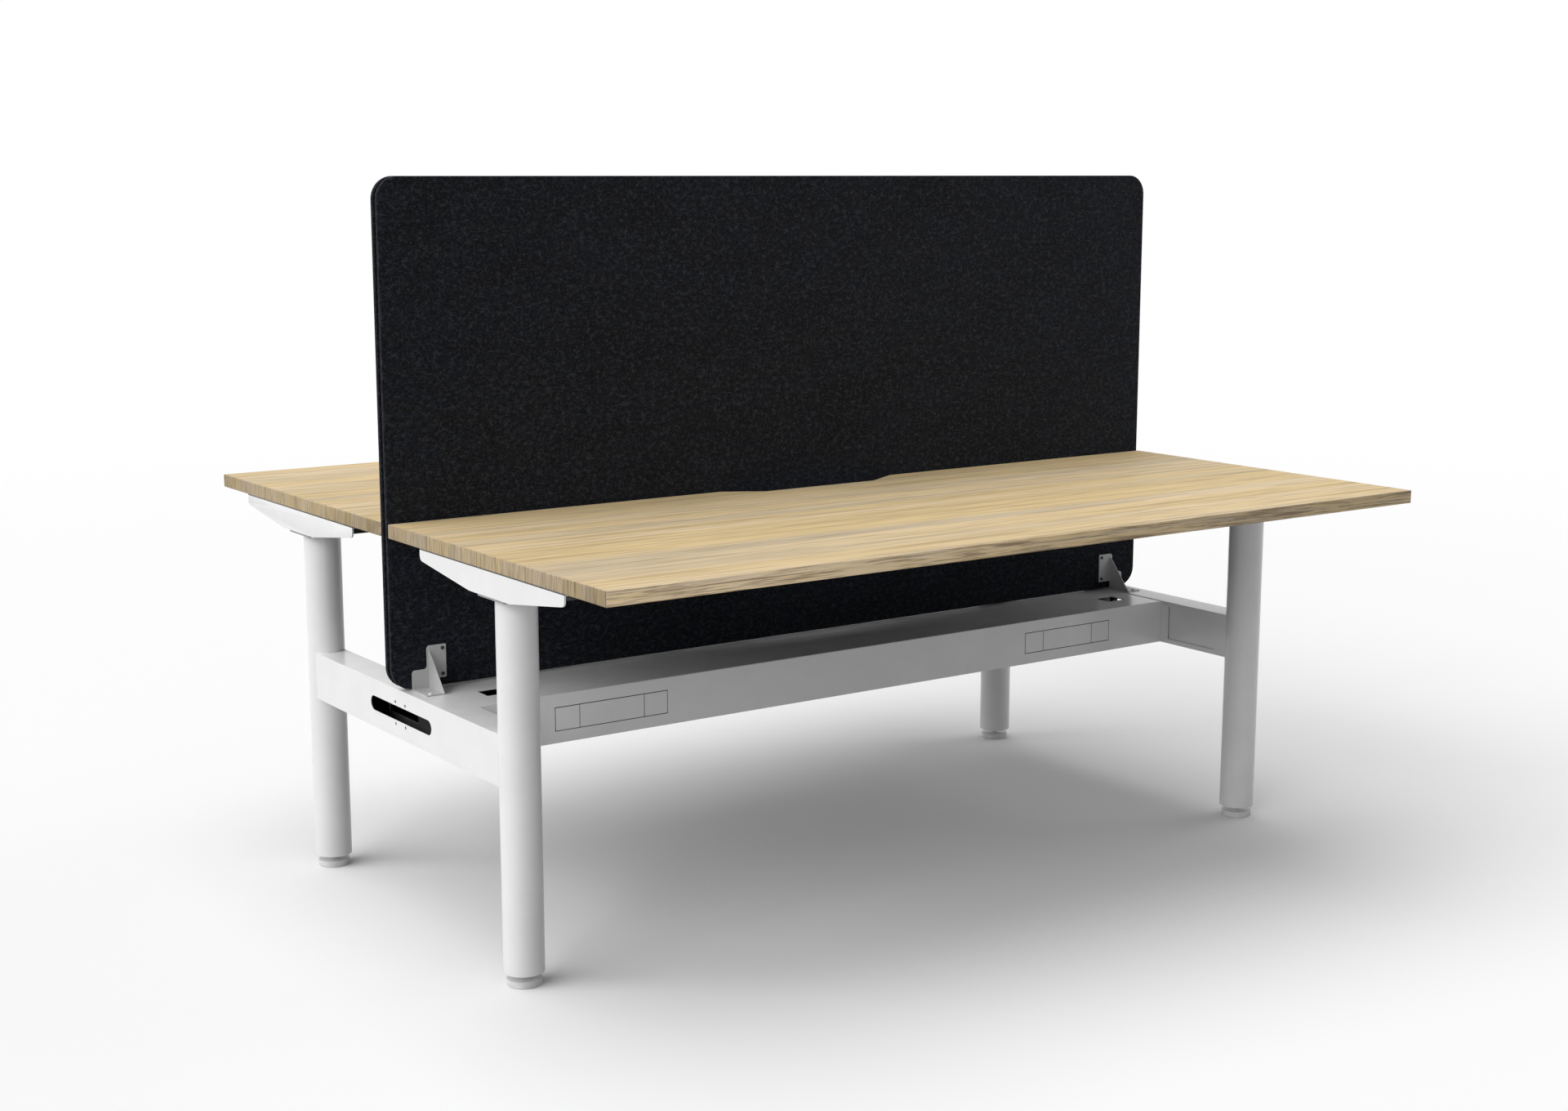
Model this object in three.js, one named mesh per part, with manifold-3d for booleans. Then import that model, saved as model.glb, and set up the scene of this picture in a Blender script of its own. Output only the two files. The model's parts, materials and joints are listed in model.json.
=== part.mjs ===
// Back-to-back bench for two: a height-adjustable desk on each side of a felt screen.
// Two hollow end beams and a cable beam tie the four columns and carry the screen.
// Millimetres, +Z up, origin on the floor under the middle of the bench, desks at their lowest setting.
// Each desk is named and drawn from the side of the person who sits at it: left is their left.
import * as THREE from "three";
import { mergeVertices } from "three/addons/utils/BufferGeometryUtils.js";
import Module from "manifold-3d";

const wasm = await Module();
wasm.setup();

// Fits
const fitGap = 0.3; // between pieces that sit on, in or against each other
const threadGap = 0.6; // round the lead screw in its nut
const parkGap = 2; // left between a moving piece and its stop at the lowest setting

// Desktops
const topLength = 1800;
const topDepth = 750;
const topThickness = 25;
const deskHeight = 733; // top surface above the floor
const topSetback = 17.5; // middle plane to the back edge of a top
const scallopFloor = 260; // straight part of the cable scallop
const scallopRun = 76; // each sloping side, along the edge
const scallopDepth = 45;
const scallopRadius = 25;

// Arms under a top
const armInset = 1; // end of the top to the outer face of the arm
const armLength = 500;
const armShift = 3; // middle of the arm, from the column towards the screen
const armDepth = 44;
const armEndDepth = 20;
const armFlat = 141; // level part of the lower edge, over the column
const armSheet = 3;
const armEndRadius = 9;
const armBendRadius = 6;

// Rails between the arms
const railWidth = 40;
const railHeight = 20;
const railWall = 2;
const railMargin = 57; // end of the arm to the side of the rail

// Columns
const legInset = 50; // end of the top to the column axis
const legDiameter = 70;
const legWall = 2.5;
const bushWall = 1.9;
const bushLength = 60;
const bushLip = 2;
const liftWall = 2.5;
const glideLength = 60;
const headThickness = 4;
const headMarginX = 17; // lift tube to the edge of the head plate
const headMarginY = 17;
const motorLength = 120;
const spindleRadius = 7;
const collarWall = 4;
const collarHeight = 14;
const nutHeight = 24;
const nutFlange = 5;
const postSpace = 3; // round the lead screw inside the post
const postWall = 3;
const plugThickness = 14;
const plugRecess = 1;

// Levelling feet
const footDiameter = 60;
const footHeight = 11;
const footChamfer = 1.5;
const footRise = 11; // top of the disc to the bottom of the column
const stemRadius = 6;
const stemReach = 15; // stem above the plug, so that the foot can be wound out

// End beams between the columns
const frameBottom = 340; // floor to the underside of both kinds of beam
const endBeamWidth = 60;
const endBeamHeight = 90;
const endBeamWall = 2.5;
const slotLength = 250;
const slotHeight = 27;
const slotHoleRadius = 3;
const slotHoleSpacing = 40; // along the slot
const slotHoleMargin = 6.5; // slot edge to hole centre
const windowHeight = 70;
const windowBeamMargin = 22; // cable beam to the window
const windowLegMargin = 16; // column to the window
const cablePassMargin = 10; // duct walls to the cable pass
const linerSheet = 1.5;
const linerLap = 5;

// Cable beam between the end beams
const beamDepth = 368;
const beamHeight = 89;
const beamSheet = 2;
const spineWidth = 70;
const ledgeWidth = 10;
const coverSheet = 2;
const cableHoleLength = 47;
const cableHoleWidth = 43;
const cableHoleFromEnd = 74.5; // end of the beam to the hole's middle
const cableHoleFromMiddle = 102; // middle plane to the hole's middle
const outletLength = 232.5;
const outletHeight = 41.3;
const outletEndLength = 49; // square segment at each end
const outletFromEnd = 269.5; // end of the beam to the outlet's middle
const outletFromBottom = 43.5; // underside of the beam to the outlet's middle
const outletLap = 4;
const outletBackSheet = 1.5;
const outletGap = 1.3; // round the plate in its window
const outletGroove = 1.3; // width and depth of the lines between segments

// Screen
const screenHeight = 900;
const screenThickness = 27;
const screenCorner = 40;
const feltThickness = 9;
const coreInset = 5;

// Screen brackets
const bracketSheet = 1.5;
const bracketOut = 12; // column axis to the outer edge of the foot
const bracketFootWidth = 35;
const bracketToe = 61; // screen face to the toe
const bracketHeight = 76; // foot to the top of the plate
const bracketTabHeight = 34;
const bracketPlateWidth = 38; // upper part, with the screw holes
const bracketPlateRise = 15; // foot to the bottom of the upper part
const bracketStep = 4; // upper part's outer edge beyond the fin
const bracketFinDrop = 5; // top of the plate to the top of the fin
const bracketRadius = 6;
const bracketHoleRadius = 2;
const bracketHoleMargin = 7;

// Control box and handset under each top
const boxLength = 260;
const boxDepth = 110;
const boxHeight = 38;
const boxEarLength = 18;
const boxEarSheet = 3;
const socketLength = 16;
const socketHeight = 10;
const socketDepth = 3.5;
const socketSpacing = 60;
const handsetLength = 110;
const handsetDepth = 48;
const handsetHeight = 16;
const handsetRadius = 8;
const handsetSetback = 85; // front edge of the top to the handset
const handsetFromEnd = 300; // right end of the top to the handset's middle
const handsetWall = 2.4; // above and below the rocker
const rockerLength = 40;
const rockerRun = 0.4; // clearance round the rocker
const rockerPivotDepth = 2; // front of the handset to the pivot
const rockerDish = 1;
const pinRadius = 1.6;
const pinLength = 3;

// Facets of the round faces
const columnSides = 24;
const screwSides = 12;
const cornerSteps = 6;
const weldDistance = 0.001;

// Places that follow from the sizes above
const legX = topLength / 2 - legInset;
const legY = topSetback + topDepth / 2;
const legRadius = legDiameter / 2;
const topUnder = deskHeight - topThickness;
const armTop = topUnder - fitGap;
const armBottom = armTop - armDepth;
const headTop = armBottom - fitGap;
const headBottom = headTop - headThickness;
const legTop = headBottom - parkGap - bushLip;
const legBottom = footHeight + footRise;
const legBore = legRadius - legWall;
const liftRadius = legBore - 2 * fitGap - bushWall;
const liftBore = liftRadius - liftWall;
const plugBottom = legBottom + plugRecess;
const plugTop = plugBottom + plugThickness;
const stemTop = plugTop + stemReach;
const liftBottom = plugTop + parkGap;
const motorBottom = headBottom - fitGap - motorLength;
const collarTop = motorBottom - fitGap;
const collarBottom = collarTop - collarHeight;
const nutTop = collarBottom - parkGap;
const nutBottom = nutTop - nutHeight;
const spindleBottom = stemTop + footRise + parkGap;
const postBore = spindleRadius + postSpace;
const endBeamTop = frameBottom + endBeamHeight;
const endBeamMiddle = frameBottom + endBeamHeight / 2;
const endBeamOuter = legX + endBeamWidth / 2;
const endBeamInner = legX - endBeamWidth / 2;
const beamTop = frameBottom + beamHeight;
const beamHalf = beamDepth / 2;
const beamEnd = endBeamInner - fitGap;
const spineHalf = spineWidth / 2;
const windowNear = beamHalf + windowBeamMargin;
const windowFar = legY - legRadius - windowLegMargin;
const bracketFootBottom = endBeamTop + fitGap;
const bracketFootTop = bracketFootBottom + bracketSheet;
const screenBottom = bracketFootTop + fitGap;
const screenFace = screenThickness / 2;
const handsetX = topLength / 2 - handsetFromEnd;
const handsetFront = -(topSetback + topDepth) + handsetSetback;
const handsetTop = topUnder - fitGap;
const rockerZ = handsetTop - handsetHeight / 2;
const rockerY = handsetFront + rockerPivotDepth;
const pocketHalf = handsetHeight / 2 - handsetWall;
const rockerRadius = pocketHalf - rockerRun;

// Finishes
const finish = (color, roughness, metalness) => new THREE.MeshStandardMaterial({ color, roughness, metalness });
const oak = finish(0xd2b27c, 0.55, 0);
const whitePowder = finish(0xf1f1f0, 0.35, 0.1);
const blackPowder = finish(0x202122, 0.5, 0.2);
const charcoalFelt = finish(0x19191c, 0.95, 0);
const darkCore = finish(0x0f0f10, 0.8, 0);
const brightSteel = finish(0xa8abae, 0.35, 0.9);
const greyPlastic = finish(0xc9cac9, 0.5, 0);
const blackPlastic = finish(0x18191a, 0.45, 0);

// A closed three.js geometry as a solid that can be joined and cut.
function solid(geometry) {
  const loose = geometry.index ? geometry.toNonIndexed() : geometry;
  const bare = new THREE.BufferGeometry();
  bare.setAttribute("position", loose.getAttribute("position"));
  const merged = mergeVertices(bare, weldDistance);
  const vertProperties = merged.getAttribute("position").array;
  const triVerts = new Uint32Array(merged.index.array);
  return new wasm.Manifold(new wasm.Mesh({ numProp: 3, vertProperties, triVerts }));
}

// A named mesh of a finished solid.
function piece(name, shape, material) {
  const { vertProperties, triVerts } = shape.getMesh();
  const geometry = new THREE.BufferGeometry();
  geometry.setAttribute("position", new THREE.BufferAttribute(vertProperties, 3));
  geometry.setIndex(new THREE.BufferAttribute(triVerts, 1));
  geometry.computeVertexNormals();
  const mesh = new THREE.Mesh(geometry, material);
  mesh.name = name;
  return mesh;
}

function block([x0, x1], [y0, y1], [z0, z1]) {
  const geometry = new THREE.BoxGeometry(x1 - x0, y1 - y0, z1 - z0);
  geometry.translate((x0 + x1) / 2, (y0 + y1) / 2, (z0 + z1) / 2);
  return solid(geometry);
}

// Upright round bar, or a cone where the top radius differs.
function drum(radius, [z0, z1], sides = columnSides, topRadius = radius) {
  const geometry = new THREE.CylinderGeometry(topRadius, radius, z1 - z0, sides);
  geometry.rotateX(Math.PI / 2);
  geometry.translate(0, 0, (z0 + z1) / 2);
  return solid(geometry);
}

// Round bar along X or along Y.
function barX(radius, [x0, x1], y, z, sides = screwSides) {
  const geometry = new THREE.CylinderGeometry(radius, radius, x1 - x0, sides);
  geometry.rotateZ(Math.PI / 2);
  geometry.translate((x0 + x1) / 2, y, z);
  return solid(geometry);
}

function barY(radius, [y0, y1], x, z, sides = screwSides) {
  const geometry = new THREE.CylinderGeometry(radius, radius, y1 - y0, sides);
  geometry.translate(x, (y0 + y1) / 2, z);
  return solid(geometry);
}

// Closed outline through corners [u, v, radius]. A round corner is an arc tangent to both its sides.
function outline(corners) {
  const at = (i) => new THREE.Vector2(...corners[(i + corners.length) % corners.length]);
  const points = corners.flatMap(([, , radius], i) => {
    const corner = at(i);
    if (!radius) return [corner];
    const back = at(i - 1).sub(corner);
    const ahead = at(i + 1).sub(corner);
    const halfAngle = Math.acos(back.dot(ahead) / (back.length() * ahead.length())) / 2;
    const most = Math.min(back.length(), ahead.length()) / 2;
    const reach = Math.min(radius / Math.tan(halfAngle), most);
    const bend = reach * Math.tan(halfAngle);
    const first = corner.clone().addScaledVector(back.normalize(), reach);
    const last = corner.clone().addScaledVector(ahead.normalize(), reach);
    const inward = back.clone().add(ahead).normalize();
    const centre = corner.clone().addScaledVector(inward, bend / Math.sin(halfAngle));
    const start = first.clone().sub(centre).angle();
    const turn = Math.sign(ahead.cross(back)) * (Math.PI - 2 * halfAngle);
    return Array.from({ length: cornerSteps + 1 }, (_, step) => {
      if (step === cornerSteps) return last;
      const angle = start + (turn * step) / cornerSteps;
      return new THREE.Vector2(Math.cos(angle), Math.sin(angle)).multiplyScalar(bend).add(centre);
    });
  });
  return new THREE.Shape(points);
}

const rectangle = (u0, u1, v0, v1, radius = 0) =>
  outline([
    [u0, v0, radius],
    [u1, v0, radius],
    [u1, v1, radius],
    [u0, v1, radius],
  ]);

const axis = {
  x: new THREE.Vector3(1, 0, 0),
  y: new THREE.Vector3(0, 1, 0),
  z: new THREE.Vector3(0, 0, 1),
};

// A plane outline given a depth: in (y, z) along X, in (x, z) along Y, in (x, y) along Z.
function extruded(shape, depth, across, up, out) {
  const geometry = new THREE.ExtrudeGeometry(shape, { depth, bevelEnabled: false });
  return geometry.applyMatrix4(new THREE.Matrix4().makeBasis(across, up, out));
}

function alongX(shape, [x0, x1]) {
  return solid(extruded(shape, x1 - x0, axis.y, axis.z, axis.x).translate(x0, 0, 0));
}

function alongY(shape, [y0, y1]) {
  return solid(extruded(shape, y1 - y0, axis.x, axis.z, axis.y.clone().negate()).translate(0, y1, 0));
}

function alongZ(shape, [z0, z1]) {
  return solid(extruded(shape, z1 - z0, axis.x, axis.y, axis.z).translate(0, 0, z0));
}

// A span that runs past both ends of another, for cuts that go right through.
const past = ([low, high]) => [low - fitGap, high + fitGap];
const about = (middle, size) => [middle - size / 2, middle + size / 2];

// Desktop with its cable scallop in the back edge
function desktop() {
  const end = topLength / 2;
  const back = -topSetback;
  const front = back - topDepth;
  const floorEnd = scallopFloor / 2;
  const mouthEnd = floorEnd + scallopRun;
  const shape = outline([
    [-end, front],
    [end, front],
    [end, back],
    [mouthEnd, back, scallopRadius],
    [floorEnd, back - scallopDepth, scallopRadius],
    [-floorEnd, back - scallopDepth, scallopRadius],
    [-mouthEnd, back, scallopRadius],
    [-end, back],
  ]);
  return alongZ(shape, [topUnder, deskHeight]);
}

// Left arm: a tapered web with a flange under the top, and a boxed seat over the column
const armOuter = -(topLength / 2 - armInset);
const armWidth = 2 * (legInset - armInset);
const armInner = armOuter + armWidth;
const armSpan = about(-legY + armShift, armLength);

function arm() {
  const [near, far] = armSpan;
  const seatSpan = about(-legY, armFlat);
  const web = outline([
    [near, armTop],
    [near, armTop - armEndDepth, armEndRadius],
    [seatSpan[0], armBottom, armBendRadius],
    [seatSpan[1], armBottom, armBendRadius],
    [far, armTop - armEndDepth, armEndRadius],
    [far, armTop],
  ]);
  const flange = block([armOuter, armInner], armSpan, [armTop - armSheet, armTop]);
  const seat = block([armOuter, armInner], seatSpan, [armBottom, armBottom + armSheet]);
  const cheek = block([armInner - armSheet, armInner], seatSpan, [armBottom, armTop]);
  return alongX(web, [armOuter, armOuter + armSheet]).add(flange).add(seat).add(cheek);
}

// Hollow rail that ties the two arms under their flanges
function rail(side) {
  const y = -legY + armShift + side * (armLength / 2 - railMargin - railWidth / 2);
  const top = armTop - armSheet - fitGap;
  const end = -armOuter - armSheet - fitGap;
  const outer = block([-end, end], about(y, railWidth), [top - railHeight, top]);
  const innerSpan = [top - railHeight + railWall, top - railWall];
  return outer.subtract(block(past([-end, end]), about(y, railWidth - 2 * railWall), innerSpan));
}

// Column pieces, drawn about the column's own axis
function leg() {
  const span = [legBottom, legTop];
  return drum(legRadius, span).subtract(drum(legBore, past(span)));
}

function guideBush() {
  const sleeve = drum(legBore - fitGap, [legTop - bushLength, legTop + bushLip]);
  const lip = drum(legRadius, [legTop + fitGap, legTop + bushLip]);
  return sleeve.add(lip).subtract(drum(liftRadius + fitGap, past([legTop - bushLength, legTop + bushLip])));
}

function liftTube() {
  const halfX = liftRadius + headMarginX;
  const halfY = liftRadius + headMarginY;
  const tube = drum(liftRadius, [liftBottom, headBottom + headThickness / 2]);
  const glide = drum(legBore - fitGap, [liftBottom, liftBottom + glideLength]);
  const bore = drum(liftBore, [liftBottom - fitGap, headBottom]);
  const head = block([-halfX, halfX], [-halfY, halfY], [headBottom, headTop]);
  return tube.add(glide).subtract(bore).add(head);
}

function motor() {
  return drum(liftBore - fitGap, [motorBottom, motorBottom + motorLength]);
}

function spindle() {
  const screw = drum(spindleRadius, [spindleBottom, collarTop], screwSides);
  return screw.add(drum(spindleRadius + collarWall, [collarBottom, collarTop], screwSides));
}

// Post that stands on the column's bottom plug and carries the nut of the lead screw
function drivePost() {
  const plug = drum(legBore - fitGap, [plugBottom, plugTop]);
  const post = drum(postBore + postWall, [plugBottom, nutTop], screwSides);
  const nut = drum(postBore + postWall + nutFlange, [nutBottom, nutTop], screwSides);
  const stemHole = drum(stemRadius + fitGap, past([plugBottom, plugTop]), screwSides);
  const space = drum(postBore, [plugTop, nutBottom], screwSides);
  const thread = drum(spindleRadius + threadGap, past([nutBottom, nutTop]), screwSides);
  return plug.add(post).add(nut).subtract(space).subtract(stemHole).subtract(thread);
}

function foot() {
  const radius = footDiameter / 2;
  const rim = radius - footChamfer;
  const lower = drum(rim, [0, footChamfer], columnSides, radius);
  const side = drum(radius, [footChamfer, footHeight - footChamfer]);
  const upper = drum(radius, [footHeight - footChamfer, footHeight], columnSides, rim);
  const stem = drum(stemRadius, [footHeight / 2, stemTop], screwSides);
  return lower.add(side).add(upper).add(stem);
}

// Control box hung under the top by two ears, with sockets for the motors and the supply
function controlBox() {
  const top = topUnder - fitGap;
  const ySpan = about(-legY, boxDepth);
  const body = block(about(0, boxLength), ySpan, [top - boxHeight, top]);
  const ears = block(about(0, boxLength + 2 * boxEarLength), about(-legY, boxDepth / 2), [top - boxEarSheet, top]);
  const socketY = [ySpan[1] - socketDepth, ySpan[1] + fitGap];
  const socketZ = about(top - boxHeight / 2, socketHeight);
  const sockets = [-1, 0, 1].map((step) => block(about(step * socketSpacing, socketLength), socketY, socketZ));
  return sockets.reduce((body, socket) => body.subtract(socket), body.add(ears));
}

// Handset with a pocket and pin holes for its up and down rocker
const rockerEnd = rockerLength / 2;

function handset() {
  const [x0, x1] = about(handsetX, handsetLength);
  const shape = rectangle(x0, x1, handsetFront, handsetFront + handsetDepth, handsetRadius);
  const body = alongZ(shape, [handsetTop - handsetHeight, handsetTop]);
  const pocketX = about(handsetX, rockerLength + 2 * rockerRun);
  const pocketY = [handsetFront - fitGap, rockerY + pocketHalf];
  const pocket = block(pocketX, pocketY, [rockerZ - pocketHalf, rockerZ + pocketHalf]);
  const pinReach = rockerLength + 2 * (pinLength + rockerRun);
  const pins = barX(pinRadius + fitGap, about(handsetX, pinReach), rockerY, rockerZ);
  return body.subtract(pocket).subtract(pins);
}

// Rocker: a barrel about its pivot with a dished front face
function rocker() {
  const faceAngle = (2 * Math.PI) / 3;
  const arcSteps = 2 * cornerSteps;
  const barrel = Array.from({ length: arcSteps + 1 }, (_, step) => {
    const angle = faceAngle * ((2 * step) / arcSteps - 1);
    return [rockerY + rockerRadius * Math.cos(angle), rockerZ + rockerRadius * Math.sin(angle)];
  });
  const dish = [rockerY + rockerRadius * Math.cos(faceAngle) + rockerDish, rockerZ];
  const body = alongX(outline([...barrel, dish]), [handsetX - rockerEnd, handsetX + rockerEnd]);
  return body.add(barX(pinRadius, about(handsetX, rockerLength + 2 * pinLength), rockerY, rockerZ));
}

// Left end beam: a hollow box coped to the columns, with the cable slot in its outer face.
// Its inner face has a window on each side of the cable beam, and a cable pass into each duct.
const ductSpan = [spineHalf + cablePassMargin, beamHalf - beamSheet - cablePassMargin];
const windowSpan = [windowNear, windowFar];
const windowZ = about(endBeamMiddle, windowHeight);
const mirrored = ([low, high]) => [-high, -low];

function endBeam() {
  const ySpan = [-legY, legY];
  const outerSpan = [-endBeamOuter, -endBeamInner];
  const innerSpan = [-endBeamOuter + endBeamWall, -endBeamInner - endBeamWall];
  const shell = block(outerSpan, ySpan, [frameBottom, endBeamTop]).subtract(
    block(innerSpan, past(ySpan), [frameBottom + endBeamWall, endBeamTop - endBeamWall]),
  );
  const outerWall = past([-endBeamOuter, -endBeamOuter + endBeamWall]);
  const slotEnd = slotLength / 2;
  const slotZ = about(endBeamMiddle, slotHeight);
  const cuts = [alongX(rectangle(-slotEnd, slotEnd, ...slotZ, slotHeight / 2), outerWall)];
  for (const side of [-1, 1]) {
    for (const level of [-1, 1]) {
      const z = endBeamMiddle + level * (slotHeight / 2 + slotHoleMargin);
      cuts.push(barX(slotHoleRadius, outerWall, (side * slotHoleSpacing) / 2, z));
    }
  }
  const innerWall = past([-endBeamInner - endBeamWall, -endBeamInner]);
  for (const span of [windowSpan, ductSpan]) {
    cuts.push(block(innerWall, span, windowZ), block(innerWall, mirrored(span), windowZ));
  }
  for (const side of [-1, 1]) {
    cuts.push(drum(legRadius + fitGap, past([frameBottom, endBeamTop])).translate([-legX, side * legY, 0]));
  }
  return cuts.reduce((beam, cut) => beam.subtract(cut), shell);
}

// Liner that closes the windows from inside and leaves the cable passes open
function endLiner() {
  const x1 = -endBeamInner - endBeamWall - fitGap;
  const xSpan = [x1 - linerSheet, x1];
  const end = windowFar + linerLap;
  const strip = block(xSpan, [-end, end], [windowZ[0] - linerLap, windowZ[1] + linerLap]);
  const pass = block(past(xSpan), ductSpan, windowZ);
  return strip.subtract(pass).subtract(block(past(xSpan), mirrored(ductSpan), windowZ));
}

// Cable beam: a trough with a hollow spine down its middle, ledges for the covers and outlet windows
function cableBeam() {
  const wall = beamHalf - beamSheet;
  const floor = frameBottom + beamSheet;
  const ledgeTop = beamTop - coverSheet - fitGap;
  const ledgeBottom = ledgeTop - beamSheet;
  const half = [
    [beamHalf, frameBottom],
    [beamHalf, beamTop],
    [wall, beamTop],
    [wall, ledgeTop],
    [wall - ledgeWidth, ledgeTop],
    [wall - ledgeWidth, ledgeBottom],
    [wall, ledgeBottom],
    [wall, floor],
    [spineHalf, floor],
    [spineHalf, ledgeBottom],
    [spineHalf + ledgeWidth, ledgeBottom],
    [spineHalf + ledgeWidth, ledgeTop],
    [spineHalf, ledgeTop],
    [spineHalf, beamTop],
  ];
  const otherHalf = half.map(([y, z]) => [-y, z]).reverse();
  const xSpan = [-beamEnd, beamEnd];
  const hollow = block(past(xSpan), about(0, spineWidth - 2 * beamSheet), [floor, beamTop - beamSheet]);
  const trough = alongX(outline([...half, ...otherHalf]), xSpan).subtract(hollow);
  const windowX = outletLength + 2 * outletGap;
  const windowLevel = about(frameBottom + outletFromBottom, outletHeight + 2 * outletGap);
  const cuts = [-1, 1].flatMap((end) =>
    [-1, 1].map((side) => {
      const y = side * (beamHalf - beamSheet / 2);
      return block(about(end * (beamEnd - outletFromEnd), windowX), about(y, beamSheet + 2 * fitGap), windowLevel);
    }),
  );
  return cuts.reduce((beam, cut) => beam.subtract(cut), trough);
}

// Cover over one duct, with a cable hole near each end
function beamCover() {
  const zSpan = [beamTop - coverSheet, beamTop];
  const ySpan = [-(beamHalf - beamSheet - fitGap), -(spineHalf + fitGap)];
  const plate = block([-beamEnd, beamEnd], ySpan, zSpan);
  const holes = [-1, 1].map((end) => {
    const x = end * (beamEnd - cableHoleFromEnd);
    return block(about(x, cableHoleLength), about(-cableHoleFromMiddle, cableHoleWidth), past(zSpan));
  });
  return plate.subtract(holes[0]).subtract(holes[1]);
}

// Flush outlet plate in three segments, held by a lap behind the beam's wall
function outletPlate() {
  const z = frameBottom + outletFromBottom;
  const wallBack = -beamHalf + beamSheet + fitGap;
  const backSpan = [wallBack, wallBack + outletBackSheet];
  const face = block(about(0, outletLength), [-beamHalf, wallBack], about(z, outletHeight));
  const backX = about(0, outletLength + 2 * outletLap);
  const back = block(backX, backSpan, about(z, outletHeight + 2 * outletLap));
  const grooveY = [-beamHalf - fitGap, -beamHalf + outletGroove];
  const grooves = [-1, 1].map((side) => {
    const x = side * (outletLength / 2 - outletEndLength);
    return block(about(x, outletGroove), grooveY, past(about(z, outletHeight)));
  });
  return face.add(back).subtract(grooves[0]).subtract(grooves[1]);
}

// Screen: two felt sheets on a core that is set back from their edges
function felt() {
  const end = topLength / 2;
  const shape = rectangle(-end, end, screenBottom, screenBottom + screenHeight, screenCorner);
  return alongY(shape, [-screenFace, -screenFace + feltThickness]);
}

function screenCore() {
  const end = topLength / 2 - coreInset;
  const low = screenBottom + coreInset;
  const high = screenBottom + screenHeight - coreInset;
  const half = screenFace - feltThickness - fitGap;
  return alongY(rectangle(-end, end, low, high, screenCorner - coreInset), [-half, half]);
}

// Left screen bracket: a foot under the screen with a plate and a fin on each face
function screenBracket() {
  const outer = -(legX + bracketOut);
  const fin = outer + bracketFootWidth;
  const plateOuter = fin - bracketSheet - bracketStep;
  const plateInner = plateOuter + bracketPlateWidth;
  const plateBack = screenFace + fitGap;
  const toe = screenFace + bracketToe;
  const top = bracketFootTop + bracketHeight;
  const rise = bracketFootTop + bracketPlateRise;
  const plate = outline([
    [outer, bracketFootBottom],
    [fin, bracketFootBottom],
    [fin, rise],
    [plateInner, rise, bracketSheet],
    [plateInner, top, bracketSheet],
    [plateOuter, top, bracketRadius],
    [plateOuter, bracketFootTop + bracketTabHeight, bracketRadius],
    [outer, bracketFootTop + bracketTabHeight, bracketRadius],
  ]);
  const foot = block([outer, fin], [-toe, toe], [bracketFootBottom, bracketFootTop]);
  return [-1, 1].reduce((bracket, side) => {
    const plateSpan = side < 0 ? [-plateBack - bracketSheet, -plateBack] : [plateBack, plateBack + bracketSheet];
    const finShape = outline([
      [side * plateBack, bracketFootBottom],
      [side * toe, bracketFootBottom],
      [side * toe, bracketFootTop],
      [side * plateBack, top - bracketFinDrop],
    ]);
    const holes = [rise + bracketHoleMargin, top - bracketHoleMargin].map((z) =>
      barY(bracketHoleRadius, past(plateSpan), plateInner - bracketHoleMargin, z),
    );
    return bracket
      .add(alongY(plate, plateSpan))
      .add(alongX(finShape, [fin - bracketSheet, fin]))
      .subtract(holes[0])
      .subtract(holes[1]);
  }, foot);
}

// The two sides of one column or beam end share a shape: the right one is the left one mirrored.
function pair(names, shape, material) {
  return ["left", "right"].map((side) => {
    const mesh = piece(`${names}_${side}`, shape, material);
    if (side === "right") mesh.scale.x = -1;
    return mesh;
  });
}

// One column with what slides and turns in it, at its place under the desk
function column(prefix, side) {
  const group = new THREE.Group();
  const parts = [
    ["leg", leg(), whitePowder],
    ["guide_bush", guideBush(), blackPlastic],
    ["drive_post", drivePost(), brightSteel],
    ["foot", foot(), greyPlastic],
    ["lift_tube", liftTube(), whitePowder],
    ["motor", motor(), blackPlastic],
    ["spindle", spindle(), brightSteel],
  ];
  parts.forEach(([name, shape, material]) => group.add(piece(`${prefix}_${name}_${side}`, shape, material)));
  group.position.set(side === "left" ? -legX : legX, -legY, 0);
  return group;
}

// Everything on one side of the screen, drawn for the front and turned half round for the rear
function station(prefix, turn) {
  const group = new THREE.Group();
  group.add(piece(`${prefix}_desktop`, desktop(), oak));
  group.add(...pair(`${prefix}_arm`, arm(), whitePowder));
  group.add(piece(`${prefix}_rail_outer`, rail(-1), blackPowder));
  group.add(piece(`${prefix}_rail_inner`, rail(1), blackPowder));
  group.add(piece(`${prefix}_control_box`, controlBox(), blackPlastic));
  group.add(piece(`${prefix}_handset`, handset(), blackPlastic));
  group.add(piece(`${prefix}_rocker`, rocker(), greyPlastic));
  group.add(column(prefix, "left"), column(prefix, "right"));
  group.add(piece(`${prefix}_beam_cover`, beamCover(), whitePowder));
  pair(`${prefix}_outlet_plate`, outletPlate(), whitePowder).forEach((plate) => {
    plate.position.x = Math.sign(plate.scale.x) * -(beamEnd - outletFromEnd);
    group.add(plate);
  });
  group.rotation.z = turn;
  return group;
}

const bench = new THREE.Group();
bench.add(station("front", 0), station("rear", Math.PI));
bench.add(...pair("end_beam", endBeam(), whitePowder));
bench.add(...pair("end_liner", endLiner(), whitePowder));
bench.add(piece("cable_beam", cableBeam(), whitePowder));
bench.add(...pair("screen_bracket", screenBracket(), whitePowder));
bench.add(piece("screen_core", screenCore(), darkCore));
for (const [name, turn] of Object.entries({ screen_felt_front: 0, screen_felt_rear: Math.PI })) {
  const sheet = piece(name, felt(), charcoalFelt);
  sheet.rotation.z = turn;
  bench.add(sheet);
}

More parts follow.
